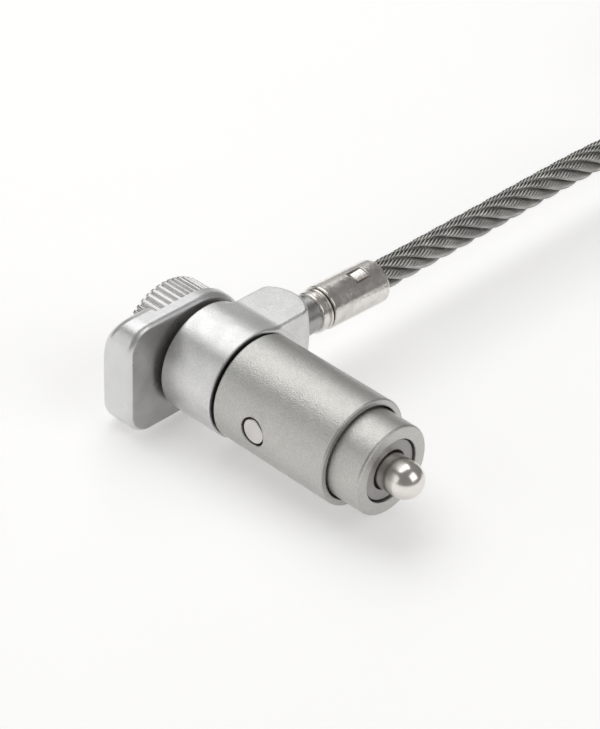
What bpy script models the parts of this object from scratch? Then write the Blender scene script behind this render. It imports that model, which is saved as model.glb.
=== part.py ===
"""Laptop cable lock: barrel head, ball stud, collar arm on a swivel, thumb lever and cable.

Metres, +Z up.  The head is drawn round the barrel's axis, which runs along X with the ball stud
towards +X and the cable leaving the collar arm towards +Y.  Positions along the axis are counted
from the barrel's front face.  The whole lock lies on z = 0, with the origin under its middle.
"""

import math

import bmesh
import bpy
from mathutils import Vector

# ---------------------------------------------------------------- driving dimensions
GAP = 0.0003                 # clearance between touching pieces
OVERCUT = 0.001              # how far a cutter reaches past the face it opens
EDGE = 0.0002                # broken edge of a turned piece
FINE_EDGE = 0.0001
MERGE = 1e-6                 # points closer than this are one
SOFT_EDGE = 0.0004
BORE_SIDES = 24
PIN_SIDES = 10

BARREL_R = 0.0095
BARREL_REAR = -0.0243        # rear end of the barrel's full diameter
JOURNAL_R = 0.0076           # the barrel's rear sleeve, which turns in the collar
JOURNAL_REAR = -0.0366
FRONT_BORE_R = 0.0083
MIDDLE_BORE_R = 0.0069
REAR_BORE_R = 0.0058
FRONT_BORE_END = -0.0080
MIDDLE_BORE_END = -0.0189

NOSE_R = 0.0080
NOSE_FRONT = 0.0063
NOSE_REAR = -0.0077
NOSE_EDGE = ((0, 0.0005), (0.0002, 0.0001), (0.0006, 0))   # (back, inward) steps of its rounding
NOSE_POCKET_R = 0.00565
NOSE_POCKET_END = 0.0002
NOSE_BORE_R = 0.0044

GUIDE_R = 0.00535            # dark guide set in the nose, round the stud
GUIDE_BORE_R = 0.00350
GUIDE_FRONT = 0.00582
GUIDE_REAR = 0.0005

STUD_R = 0.00315
BALL_R = 0.0032
BALL_X = 0.00915
STUD_TRAVEL = 0.0040
STUD_GROOVE_R = 0.0023
STUD_FLANGE_R = 0.0053
STUD_FLANGE_FRONT = -0.0192
STUD_FLANGE_REAR = -0.0202
TAIL_R = 0.0015
TAIL_END = -0.0326
FOLLOWER_X = -0.0312
FOLLOWER_R = 0.0006
FOLLOWER_REACH = 0.0049
TAIL_HOLE_REACH = 0.004

BUSH_R = 0.0066
BUSH_BORE_R = 0.0035
BUSH_FRONT = -0.0084
BUSH_REAR = -0.0128

SPRING_MEAN_R = 0.0036
SPRING_WIRE_R = 0.00036
SPRING_TURNS = 5
SEAT_FRONT = -0.0283
SEAT_REAR = -0.0292
SEAT_R = 0.0055
SEAT_BORE_R = 0.0019

BUTTON_X = -0.0154
BUTTON_Z = 0.0003
BUTTON_R = 0.00220
BUTTON_HOLE_R = 0.0025
BUTTON_FACE = 0.0092         # distance of the button's flat face from the axis
BUTTON_INNER = 0.0062
PLATE_HALF = 0.0006
PLATE_R = 0.0056
PLATE_OFFSET = -0.0003
PLATE_HOLE_R = 0.00355
PLATE_HOLE_OFFSET = -0.0009
BUTTON_SPRING_R = 0.0009
BUTTON_SPRING_WIRE_R = 0.0002
BUTTON_SPRING_FROM = 0.0057
BUTTON_SPRING_TO = 0.0080
BUTTON_POCKET_R = 0.0014
BUTTON_POCKET_END = 0.0083
BUTTON_POCKET_FROM = 0.0060
BUTTON_HOLE_FROM = -0.0115
BUTTON_HOLE_DEPTH = 0.0055

COLLAR_R = 0.0099
COLLAR_FRONT = -0.02485
COLLAR_REAR = -0.0363
COLLAR_BORE_R = 0.0079
WASHER_RECESS_R = 0.0093
WASHER_RECESS_END = -0.0259
WASHER_R = 0.0090
CLIP_RECESS_R = 0.0089
CLIP_RECESS_FRONT = -0.0352
CLIP_R = 0.0085
CLIP_GROOVE_R = 0.0070

ARM_TOP = 0.0088
ARM_BOTTOM = -0.0042
ARM_CUT_REACH = 0.03         # half height of the flat outlines that the arm is cut from
ARM_BORE_FROM = 0.003
ARM_REAR = -0.0351
ARM_END = 0.0156             # reach of the arm's rounded end along Y
ARM_END_ARC_R = 0.0068       # seen from above
ARM_SIDE_ARC_R = 0.0280      # seen along X
ARM_CORNER_R = 0.0008
STEM_X = -0.03045
STEM_Z = 0.00234
NECK_R = 0.0034
NECK_BORE_R = 0.0037
STEM_HEAD_R = 0.0040
STEM_COUNTERBORE_R = 0.00435
STEM_HEAD_FROM = 0.0081
STEM_HEAD_TO = 0.0100
STEM_WASHER_TO = 0.0108
STEM_SHOULDER = 0.0111
STEM_END = 0.0212
STEM_LIP_R = 0.0036
STEM_LIP_BACK, STEM_LIP_FOOT = 0.0006, 0.0009

FERRULE_R = 0.0040
FERRULE_FROM = 0.0215
FERRULE_MOUTH = ((0.0001, 0.0005), (0.0004, 0.0001), (0.0009, 0))   # (back, inward) steps
FERRULE_FOOT = ((0.0008, 0), (0.0003, 0.0004), (0, 0.0004))
FERRULE_TO = 0.0352
FERRULE_BORE_R = 0.00305
FERRULE_BORE_FROM = 0.0230

LEVER_R = 0.0106             # round part, and half the height of the lobe
LEVER_FRONT = -0.0373
FLANGE_REAR = -0.0398
LEVER_REAR = -0.0442
LEVER_END = -0.0155          # the lobe's flat end, along Y
LEVER_CORNER_R = 0.0046
LEVER_CUT = 0.013            # reach of the cut that leaves only the flange beside the housing
LEVER_WALL_Y = -0.0075       # where the thick lobe stops above and below the knurled housing
LEVER_EDGE = 0.0005

HOUSING_R = 0.0100
HOUSING_FRONT = -0.0401
HOUSING_REAR = -0.0463
HOUSING_CLEARANCE_R = 0.01035
HOUSING_BORE_R = 0.00455
HOUSING_COUNTERBORE_R = 0.0057
HOUSING_COUNTERBORE_END = -0.0414
RIBS = 40
RIB_DEPTH = 0.00035
DOWEL_R = 0.0006
DOWEL_CIRCLE_R = 0.0078
DOWEL_FRONT = -0.0385
DOWEL_REAR = -0.0425

SPINDLE_R = 0.0055
SPINDLE_FRONT = -0.0295
SPINDLE_REAR = -0.0378
TENON_OVERLAP = 0.0004
SPINDLE_BORE_R = 0.0032
SPINDLE_BORE_END = -0.0370
SPINDLE_TAIL_BORE_R = 0.0016
TENON_HALF = 0.0022
TENON_REAR = -0.0395
SLOT_HALF = 0.00092
SLOT_INNER_R = 0.0025
SLOT_OUTER_R = 0.0070
SLOT_STEPS = 10

PLUG_R = 0.0042
PLUG_REAR = -0.0461
PLUG_FRONT = -0.0402
PLUG_GROOVE_R = 0.0034
PLUG_CLIP_R = 0.0053
PLUG_NECK_STEP = 0.0003
PLUG_GROOVE_FROM = -0.0411
PLUG_GROOVE_TO = -0.0403
KEYWAY_HALF = 0.0006
KEYWAY_HEIGHT = 0.0031
KEYWAY_END = -0.0412
WAFER_XS = (-0.0447, -0.0433, -0.0419)
WAFER_HALF_X = 0.0002
WAFER_HALF_Y = 0.0014
WAFER_HALF_Z = 0.0032
WAFER_WINDOW_Y = 0.0008
WAFER_WINDOW_Z = 0.0022
WAFER_SLOT_HALF_X = 0.0005
WAFER_SLOT_HALF_Y = 0.00175
WAFER_SPRING_Y = 0.0023
WAFER_SPRING_ROOM_Y = 0.0008
WAFER_SPRING_ROOM_Z = 0.0015
WAFER_SLOT_HALF_Z = 0.0052
WAFER_SPRING_R = 0.00030
WAFER_SPRING_WIRE_R = 0.0001
WAFER_SPRING_HALF = 0.0010
TAILPIECE_HALF_Y = 0.0011
TAILPIECE_HALF_Z = 0.0005
TAILPIECE_FRONT = -0.0373
TAILPIECE_REAR = -0.0408

CABLE_R = 0.00275
COIL_PITCH = 0.0056          # spacing of neighbouring turns in the coil
COIL_INNER_TURN_R = 0.0246   # the run comes in along the inner turns, under the outer ones
COIL_COLUMNS = 2
COIL_ROWS = 5.5
COIL_BASE = 0.0009           # the tie's strap passes under the coil
COIL_EDGE = 0.0020           # rounding of the coiled ring's corners
COIL_Y = 0.1725              # coil centre from the barrel's axis
TIE_THICKNESS = 0.0006
TIE_HALF_WIDTH = 0.0060
EYE_FERRULE_LENGTH = 0.0160
EYE_FERRULE_HALF_WIDTH = 0.0064
EYE_FERRULE_HALF_HEIGHT = 0.0036

# The cable's route by hand, as (X, Y, height above the surface): straight out of the ferrule, then
# down to the foot of the coil; and off the coil's lowest outer turn, round its outside, to the eye.
RUN_ROUTE = [
    (-0.03045, 0.0233, 0.01270), (-0.03045, 0.0600, 0.01280), (-0.03045, 0.0920, 0.01285),
    (-0.03045, 0.1110, 0.01130), (-0.03045, 0.1300, 0.00650), (-0.03045, 0.1470, 0.00372),
]
TAIL_ROUTE = [
    (0.02555, 0.19065, 0.0044), (0.03055, 0.1765, 0.0038), (0.03095, 0.1625, 0.0036),
    (0.02940, 0.1495, 0.0036), (0.02660, 0.1375, 0.0036),
]
EYE_ROUTE = [
    (0.0028, 0.0003, 0.0036), (0.0036, 0.0080, 0.0036), (0.0080, 0.0180, 0.0034),
    (0.0135, 0.0280, 0.0030), (0.0148, 0.0385, 0.0028), (0.0095, 0.0480, 0.0028),
    (0.0000, 0.0515, 0.0028),
]

# ---------------------------------------------------------------- derived places
BALL_TIP = BALL_X + BALL_R
AXIS_HEIGHT = LEVER_R
X_CENTRE = (HOUSING_REAR + BALL_TIP) / 2
Y_CENTRE = (LEVER_END + FERRULE_TO) / 2

ALONG_X = (math.pi / 2, 0, math.pi / 2)      # local (x, y, z) becomes (Y, Z, X)
ALONG_Y = (-math.pi / 2, 0, 0)               # local z becomes Y
COLLECTION = "laptop_cable_lock"


# ---------------------------------------------------------------- scene helpers
def clear_scene():
    for obj in list(bpy.data.objects):
        bpy.data.objects.remove(obj, do_unlink=True)
    for name in (COLLECTION, "cutters"):
        old = bpy.data.collections.get(name)
        if old:
            bpy.data.collections.remove(old)
        bpy.context.scene.collection.children.link(bpy.data.collections.new(name))


def material(name, colour, roughness, metallic):
    mat = bpy.data.materials.new(name)
    mat.use_nodes = True
    shader = mat.node_tree.nodes["Principled BSDF"]
    shader.inputs["Base Color"].default_value = (*colour, 1)
    shader.inputs["Roughness"].default_value = roughness
    shader.inputs["Metallic"].default_value = metallic
    mat.diffuse_color = (*colour, 1)
    return mat


def empty(name, location, parent=None):
    obj = bpy.data.objects.new(name, None)
    obj.empty_display_size = 0.01
    obj.location = location
    obj.parent = parent
    bpy.data.collections[COLLECTION].objects.link(obj)
    return obj


def add(name, mesh, parent, location=(0, 0, 0), rotation=(0, 0, 0), mat=None, cutter=False):
    """Link a mesh or curve as an object, as a part or as a cutter."""
    obj = bpy.data.objects.new(name, mesh)
    obj.location = location
    obj.rotation_euler = rotation
    obj.parent = parent
    bpy.data.collections["cutters" if cutter else COLLECTION].objects.link(obj)
    if cutter:
        obj.hide_render = True
        obj.display_type = "WIRE"
    if mat:
        mesh.materials.append(mat)
    return obj


def smooth(obj, degrees=35):
    obj.data.shade_smooth()
    obj.data.set_sharp_from_angle(angle=math.radians(degrees))


def apply_modifiers(obj):
    """Bake an object's modifiers into its mesh, or turn a curve into one."""
    bpy.context.view_layer.update()
    graph = bpy.context.evaluated_depsgraph_get()
    baked = bpy.data.meshes.new_from_object(obj.evaluated_get(graph))
    bm = bmesh.new()
    bm.from_mesh(baked)
    bmesh.ops.remove_doubles(bm, verts=bm.verts, dist=1e-6)
    bm.to_mesh(baked)
    bm.free()
    return baked


def as_mesh(obj):
    """Replace an object by one that holds its evaluated mesh, welded."""
    baked = apply_modifiers(obj)
    name, parent, cutter = obj.name, obj.parent, obj.hide_render
    location, rotation = obj.location.copy(), obj.rotation_euler.copy()
    bpy.data.objects.remove(obj, do_unlink=True)
    baked.name = name
    return add(name, baked, parent, location, rotation, cutter=cutter)


# ---------------------------------------------------------------- shape helpers
def turned(name, outline, parent, location=(0, 0, 0), rotation=ALONG_X, mat=None, steps=32,
           cutter=False):
    """Turn (along, radius) points, given down the outer side first, round the local Z axis."""
    mesh = bpy.data.meshes.new(name)
    bm = bmesh.new()
    verts = [bm.verts.new((radius, 0, along)) for along, radius in outline]
    edges = list(zip(verts, verts[1:]))
    if outline[0][1] > 0:
        edges.append((verts[-1], verts[0]))
    for pair in edges:
        bm.edges.new(pair)
    bm.to_mesh(mesh)
    bm.free()
    obj = add(name, mesh, parent, location, rotation, mat, cutter)
    screw = obj.modifiers.new("turn", "SCREW")
    screw.axis = "Z"
    screw.angle = 2 * math.pi
    screw.steps = screw.render_steps = steps
    screw.use_merge_vertices = True
    screw.merge_threshold = MERGE
    obj = as_mesh(obj)
    smooth(obj)
    return obj


def tube_outline(front, rear, outer, inner, chamfer=EDGE):
    """Outline of a plain ring with its outer edges broken."""
    return [(front, inner), (front, outer - chamfer), (front - chamfer, outer),
            (rear + chamfer, outer), (rear, outer - chamfer), (rear, inner)]


def box(name, low, high, parent, mat=None, cutter=False):
    """A box between two corners."""
    size = Vector(high) - Vector(low)
    mesh = bpy.data.meshes.new(name)
    bm = bmesh.new()
    bmesh.ops.create_cube(bm, size=1)
    bmesh.ops.scale(bm, vec=size, verts=bm.verts)
    bm.to_mesh(mesh)
    bm.free()
    return add(name, mesh, parent, (Vector(high) + Vector(low)) / 2, mat=mat, cutter=cutter)


def rod(name, start, length, radius, axis, parent, mat=None, sides=20, cutter=False):
    """A plain cylinder from a start point along X, Y or Z."""
    mesh = bpy.data.meshes.new(name)
    bm = bmesh.new()
    bmesh.ops.create_cone(bm, cap_ends=True, segments=sides, radius1=radius, radius2=radius,
                          depth=length)
    bmesh.ops.translate(bm, vec=(0, 0, length / 2), verts=bm.verts)
    bm.to_mesh(mesh)
    bm.free()
    turn = {"X": (0, math.pi / 2, 0), "Y": ALONG_Y, "Z": (0, 0, 0)}[axis]
    obj = add(name, mesh, parent, start, turn, mat, cutter)
    smooth(obj)
    return obj


def plate(name, outlines, front, rear, parent, mat=None, cutter=False, rotation=ALONG_X,
          location=None):
    """Extrude closed flat outlines, the first with the others as holes, between two stations."""
    curve = bpy.data.curves.new(name, "CURVE")
    curve.dimensions = "2D"
    curve.fill_mode = "BOTH"
    curve.extrude = abs(front - rear) / 2
    for outline in outlines:
        spline = curve.splines.new("POLY")
        spline.points.add(len(outline) - 1)
        for point, (a, b) in zip(spline.points, outline):
            point.co = (a, b, 0, 1)
        spline.use_cyclic_u = True
    middle = (front + rear) / 2
    if location is None:
        location = (middle, 0, 0)
    obj = add(name, curve, parent, location, rotation, mat, cutter)
    return as_mesh(obj)


def wire(name, points, radius, parent, mat, resolution=1, cyclic=False):
    """A round wire or tube through points, with filled ends."""
    curve = bpy.data.curves.new(name, "CURVE")
    curve.dimensions = "3D"
    curve.bevel_depth = radius
    curve.bevel_resolution = resolution
    curve.use_fill_caps = not cyclic
    spline = curve.splines.new("POLY")
    spline.points.add(len(points) - 1)
    for point, co in zip(spline.points, points):
        point.co = (*co, 1)
    spline.use_cyclic_u = cyclic
    obj = add(name, curve, parent, mat=mat)
    obj = as_mesh(obj)
    smooth(obj)
    return obj


def arc(centre, radius, start, end, steps):
    """Points on an arc, angles in degrees."""
    points = []
    for i in range(steps + 1):
        angle = math.radians(start + (end - start) * i / steps)
        points.append((centre[0] + radius * math.cos(angle), centre[1] + radius * math.sin(angle)))
    return points


def circle(centre, radius, steps):
    return arc(centre, radius, 0, 360, steps)[:-1]


def boolean(obj, tool, operation="DIFFERENCE"):
    mod = obj.modifiers.new(operation.lower(), "BOOLEAN")
    mod.operation = operation
    mod.solver = "EXACT"
    mod.object = tool


def finish(obj, degrees=35):
    """Bake the booleans and shade the result."""
    obj = as_mesh(obj)
    smooth(obj, degrees)
    return obj


def coil_points(axis_from, axis_to, radius, turns, centre, axis, per_turn=12):
    """Points of a helical spring along an axis through a centre line."""
    points = []
    count = turns * per_turn
    for i in range(count + 1):
        angle = 2 * math.pi * i / per_turn
        along = axis_from + (axis_to - axis_from) * i / count
        across = (radius * math.cos(angle), radius * math.sin(angle))
        if axis == "X":
            points.append((along, centre[0] + across[0], centre[1] + across[1]))
        elif axis == "Y":
            points.append((centre[0] + across[0], along, centre[1] + across[1]))
        else:
            points.append((centre[0] + across[0], centre[1] + across[1], along))
    return points


# ---------------------------------------------------------------- materials
def make_materials():
    return {
        "satin": material("satin_silver", (0.66, 0.66, 0.67), 0.34, 0.9),
        "barrel": material("barrel_grey", (0.50, 0.50, 0.49), 0.38, 0.9),
        "nickel": material("polished_nickel", (0.70, 0.67, 0.63), 0.12, 1.0),
        "steel": material("plain_steel", (0.45, 0.45, 0.46), 0.35, 1.0),
        "spring": material("spring_steel", (0.30, 0.30, 0.32), 0.30, 1.0),
        "oxide": material("dark_oxide", (0.09, 0.08, 0.07), 0.45, 0.8),
        "brass": material("brass", (0.72, 0.52, 0.24), 0.30, 1.0),
        "nylon": material("black_nylon", (0.02, 0.02, 0.02), 0.50, 0.0),
        "cable": material("cable_strand", (0.36, 0.36, 0.35), 0.35, 0.9),
        "strap": material("tie_strap", (0.03, 0.03, 0.03), 0.80, 0.0),
    }


# ---------------------------------------------------------------- barrel
def make_barrel(axis, mats):
    shell = turned("barrel_shell", [
        (0, FRONT_BORE_R), (0, BARREL_R - SOFT_EDGE), (-SOFT_EDGE, BARREL_R),
        (BARREL_REAR + EDGE, BARREL_R), (BARREL_REAR, BARREL_R - EDGE),
        (BARREL_REAR, JOURNAL_R), (CLIP_RECESS_FRONT - GAP, JOURNAL_R),
        (CLIP_RECESS_FRONT - GAP, CLIP_GROOVE_R), (COLLAR_REAR + GAP, CLIP_GROOVE_R),
        (COLLAR_REAR + GAP, JOURNAL_R), (JOURNAL_REAR, JOURNAL_R),
        (JOURNAL_REAR, REAR_BORE_R), (MIDDLE_BORE_END, REAR_BORE_R),
        (MIDDLE_BORE_END, MIDDLE_BORE_R), (FRONT_BORE_END, MIDDLE_BORE_R),
        (FRONT_BORE_END, FRONT_BORE_R)], axis, mat=mats["barrel"])
    boolean(shell, rod("button_hole", (BUTTON_X, BUTTON_HOLE_FROM, BUTTON_Z),
                       BUTTON_HOLE_DEPTH, BUTTON_HOLE_R, "Y", axis, cutter=True))
    boolean(shell, rod("button_spring_pocket", (BUTTON_X, BUTTON_POCKET_FROM, BUTTON_Z),
                       BUTTON_POCKET_END - BUTTON_POCKET_FROM, BUTTON_POCKET_R, "Y", axis,
                       sides=12, cutter=True))
    finish(shell)

    nose_edge = [(NOSE_FRONT - back, NOSE_R - inward) for back, inward in NOSE_EDGE]
    turned("nose_ring", [
        (NOSE_FRONT, NOSE_POCKET_R), *nose_edge, (NOSE_REAR, NOSE_R), (NOSE_REAR, NOSE_BORE_R),
        (NOSE_POCKET_END, NOSE_BORE_R), (NOSE_POCKET_END, NOSE_POCKET_R)], axis, mat=mats["barrel"])
    turned("stud_guide", tube_outline(GUIDE_FRONT, GUIDE_REAR, GUIDE_R, GUIDE_BORE_R), axis,
           mat=mats["oxide"], steps=24)
    turned("guide_bush", tube_outline(BUSH_FRONT, BUSH_REAR, BUSH_R, BUSH_BORE_R), axis,
           mat=mats["brass"], steps=24)
    turned("spring_seat", tube_outline(SEAT_FRONT, SEAT_REAR, SEAT_R, SEAT_BORE_R), axis,
           mat=mats["steel"], steps=24)
    turned("collar_clip", tube_outline(CLIP_RECESS_FRONT - GAP, COLLAR_REAR + GAP, CLIP_R,
                                       CLIP_GROOVE_R + GAP, FINE_EDGE), axis, mat=mats["spring"],
           steps=24)


# ---------------------------------------------------------------- ball stud and its spring
def make_stud(axis, mats):
    ball = arc((BALL_X, 0), BALL_R, 0, 80, 6)
    groove_front = BUTTON_X + PLATE_HALF + GAP + STUD_TRAVEL
    groove_rear = BUTTON_X - PLATE_HALF - GAP
    outline = [(x, max(r, 0)) for x, r in ball]
    outline[0] = (BALL_TIP, 0)
    outline += [(groove_front, STUD_R), (groove_front, STUD_GROOVE_R),
                (groove_rear, STUD_GROOVE_R), (groove_rear, STUD_R),
                (STUD_FLANGE_FRONT, STUD_R), (STUD_FLANGE_FRONT, STUD_FLANGE_R),
                (STUD_FLANGE_REAR, STUD_FLANGE_R), (STUD_FLANGE_REAR, TAIL_R),
                (TAIL_END, TAIL_R), (TAIL_END, 0)]
    stud = turned("ball_stud", outline, axis, mat=mats["nickel"], steps=24)
    boolean(stud, rod("follower_hole", (FOLLOWER_X, -TAIL_HOLE_REACH, 0), 2 * TAIL_HOLE_REACH,
                      FOLLOWER_R + GAP, "Y", axis, sides=PIN_SIDES, cutter=True))
    finish(stud)
    rod("follower_pin", (FOLLOWER_X, -FOLLOWER_REACH, 0), 2 * FOLLOWER_REACH, FOLLOWER_R, "Y",
        axis, mats["steel"], sides=10)
    wire("stud_spring", coil_points(STUD_FLANGE_REAR - GAP - SPRING_WIRE_R,
                                    SEAT_FRONT + GAP + SPRING_WIRE_R, SPRING_MEAN_R,
                                    SPRING_TURNS, (0, 0), "X"),
         SPRING_WIRE_R, axis, mats["spring"])


# ---------------------------------------------------------------- release button
def make_button(parent, mats):
    turned("release_button", [
        (BUTTON_FACE, 0), (BUTTON_FACE, BUTTON_R - EDGE), (BUTTON_FACE - EDGE, BUTTON_R),
        (BUTTON_INNER, BUTTON_R), (BUTTON_INNER, 0)], parent, location=(BUTTON_X, 0, BUTTON_Z),
        rotation=(math.pi / 2, 0, 0), mat=mats["nickel"], steps=24)
    outer = circle((PLATE_OFFSET, BUTTON_Z), PLATE_R, 28)
    hole = circle((PLATE_HOLE_OFFSET, 0), PLATE_HOLE_R, 20)
    plate("latch_plate", [outer, hole], BUTTON_X + PLATE_HALF, BUTTON_X - PLATE_HALF, parent,
          mats["steel"])
    wire("button_spring", coil_points(BUTTON_SPRING_FROM, BUTTON_SPRING_TO, BUTTON_SPRING_R, 4,
                                      (BUTTON_X, BUTTON_Z), "Y", 8),
         BUTTON_SPRING_WIRE_R, parent, mats["spring"])


# ---------------------------------------------------------------- collar and its arm
def arm_plan():
    """The arm seen from above: straight sides and a rounded end, in (X, Y)."""
    half = (COLLAR_FRONT - ARM_REAR) / 2
    middle = (COLLAR_FRONT + ARM_REAR) / 2
    centre_y = ARM_END - ARM_END_ARC_R
    reach = math.degrees(math.asin((half - ARM_CORNER_R) / (ARM_END_ARC_R - ARM_CORNER_R)))
    end = arc((middle, centre_y), ARM_END_ARC_R, 90 - reach, 90 + reach, 8)
    corner_y = centre_y + (ARM_END_ARC_R - ARM_CORNER_R) * math.cos(math.radians(reach))
    right = arc((COLLAR_FRONT - ARM_CORNER_R, corner_y), ARM_CORNER_R, 0, 90 - reach, 3)[:-1]
    left = arc((ARM_REAR + ARM_CORNER_R, corner_y), ARM_CORNER_R, 90 + reach, 180, 3)[1:]
    return [(ARM_REAR, 0), (COLLAR_FRONT, 0)] + right + end + left


def arm_side():
    """The arm seen along X: flat top, rounded end, in (Y, Z)."""
    middle = STEM_Z
    half = ARM_TOP - middle
    centre_y = ARM_END - ARM_SIDE_ARC_R
    reach = math.degrees(math.asin(half / ARM_SIDE_ARC_R))
    end = arc((centre_y, middle), ARM_SIDE_ARC_R, -reach, reach, 8)
    return [(0, ARM_BOTTOM)] + end + [(0, ARM_TOP)]


def make_collar(swivel, offset, mats):
    collar = turned("collar", [
        (COLLAR_FRONT, WASHER_RECESS_R), (COLLAR_FRONT, COLLAR_R - EDGE),
        (COLLAR_FRONT - EDGE, COLLAR_R), (COLLAR_REAR + SOFT_EDGE, COLLAR_R),
        (COLLAR_REAR, COLLAR_R - SOFT_EDGE), (COLLAR_REAR, CLIP_RECESS_R),
        (CLIP_RECESS_FRONT, CLIP_RECESS_R), (CLIP_RECESS_FRONT, COLLAR_BORE_R),
        (WASHER_RECESS_END, COLLAR_BORE_R), (WASHER_RECESS_END, WASHER_RECESS_R)],
        swivel, location=offset, mat=mats["satin"])
    plan = plate("arm_plan", [arm_plan()], ARM_CUT_REACH, -ARM_CUT_REACH, swivel, cutter=True,
                 rotation=(0, 0, 0), location=offset)
    side = plate("arm_side", [arm_side()], ARM_CUT_REACH, -ARM_CUT_REACH, swivel, cutter=True,
                 location=offset + Vector(((COLLAR_FRONT + ARM_REAR) / 2, 0, 0)))
    boolean(plan, side, "INTERSECT")
    boolean(collar, plan, "UNION")
    main = rod("collar_bore", offset + Vector((COLLAR_REAR - OVERCUT, 0, 0)),
               COLLAR_FRONT - COLLAR_REAR + 2 * OVERCUT, COLLAR_BORE_R, "X", swivel, sides=32,
               cutter=True)
    recess = rod("washer_recess", offset + Vector((WASHER_RECESS_END, 0, 0)), 3 * OVERCUT,
                 WASHER_RECESS_R, "X", swivel, sides=32, cutter=True)
    bore_at = offset + Vector((STEM_X, ARM_BORE_FROM, STEM_Z))
    head = rod("stem_counterbore", bore_at, STEM_SHOULDER - ARM_BORE_FROM, STEM_COUNTERBORE_R,
               "Y", swivel, cutter=True)
    neck = rod("stem_bore", bore_at, ARM_END, NECK_BORE_R, "Y", swivel, cutter=True)
    for tool in (main, recess, head, neck):
        boolean(collar, tool)
    finish(collar, 30)
    turned("collar_washer", tube_outline(COLLAR_FRONT - GAP, WASHER_RECESS_END + GAP, WASHER_R,
                                         COLLAR_BORE_R, FINE_EDGE), swivel, location=offset,
           mat=mats["nylon"], steps=24)


# ---------------------------------------------------------------- cable end fitting
def make_fitting(swivel, mats):
    turned("swivel_stem", [
        (STEM_END, 0), (STEM_END, STEM_LIP_R), (STEM_END - STEM_LIP_BACK, STEM_LIP_R),
        (STEM_END - STEM_LIP_FOOT, NECK_R), (STEM_HEAD_TO, NECK_R), (STEM_HEAD_TO, STEM_HEAD_R),
        (STEM_HEAD_FROM, STEM_HEAD_R), (STEM_HEAD_FROM, 0)], swivel, rotation=ALONG_Y,
        mat=mats["nickel"], steps=24)
    turned("stem_washer", tube_outline(STEM_WASHER_TO, STEM_HEAD_TO + GAP, STEM_HEAD_R,
                                       NECK_R + GAP, FINE_EDGE), swivel, rotation=ALONG_Y,
           mat=mats["brass"], steps=20)
    mouth = [(FERRULE_TO - back, FERRULE_R - inward) for back, inward in FERRULE_MOUTH]
    foot = [(FERRULE_FROM + ahead, FERRULE_R - inward) for ahead, inward in FERRULE_FOOT]
    turned("crimp_ferrule", [
        (FERRULE_TO, FERRULE_BORE_R), *mouth, *foot, (FERRULE_FROM, 0), (FERRULE_BORE_FROM, 0),
        (FERRULE_BORE_FROM, FERRULE_BORE_R)], swivel, rotation=ALONG_Y, mat=mats["nickel"],
        steps=24)


# ---------------------------------------------------------------- thumb lever and housing
def lever_outline():
    """Round part towards +Y, with a square-cornered lobe towards -Y, in (Y, Z)."""
    inner_y = LEVER_END + LEVER_CORNER_R
    inner_z = LEVER_R - LEVER_CORNER_R
    return (arc((0, 0), LEVER_R, -90, 90, 16)
            + arc((inner_y, inner_z), LEVER_CORNER_R, 90, 180, 5)
            + arc((inner_y, -inner_z), LEVER_CORNER_R, 180, 270, 5))


def rib_outline():
    """The knurled rim: ribs with sloping sides, in (Y, Z)."""
    points = []
    for i in range(RIBS):
        for fraction, radius in ((0.0, HOUSING_R), (0.45, HOUSING_R),
                                 (0.60, HOUSING_R - RIB_DEPTH), (0.85, HOUSING_R - RIB_DEPTH)):
            angle = 2 * math.pi * (i + fraction) / RIBS
            points.append((radius * math.cos(angle), radius * math.sin(angle)))
    return points


def make_lever(axis, mats):
    lever = plate("thumb_lever", [lever_outline()], LEVER_FRONT, LEVER_REAR, axis, mats["satin"])
    edge = lever.modifiers.new("edge", "BEVEL")
    edge.width = LEVER_EDGE
    edge.segments = 2
    edge.limit_method = "ANGLE"
    edge.angle_limit = math.radians(50)
    room_from = LEVER_REAR - 2 * OVERCUT
    room = rod("housing_room", (room_from, 0, 0), FLANGE_REAR - room_from, HOUSING_CLEARANCE_R,
               "X", axis, sides=48, cutter=True)
    side = box("lobe_wall", (room_from, LEVER_WALL_Y, -LEVER_CUT),
               (FLANGE_REAR, LEVER_CUT, LEVER_CUT), axis, cutter=True)
    mouth = rod("spindle_mouth", (SPINDLE_REAR - GAP, 0, 0), 3 * OVERCUT, SPINDLE_R + GAP, "X",
                axis, sides=BORE_SIDES, cutter=True)
    square = box("tenon_hole", (FLANGE_REAR - OVERCUT, -TENON_HALF - GAP, -TENON_HALF - GAP),
                 (LEVER_FRONT, TENON_HALF + GAP, TENON_HALF + GAP), axis, cutter=True)
    for tool in (room, side, mouth, square):
        boolean(lever, tool)
    for sign in (-1, 1):
        boolean(lever, rod(f"lever_dowel_hole_{sign}", (DOWEL_REAR, 0, sign * DOWEL_CIRCLE_R),
                           DOWEL_FRONT - DOWEL_REAR + GAP, DOWEL_R + GAP, "X", axis,
                           sides=PIN_SIDES, cutter=True))
    finish(lever, 30)


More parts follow.
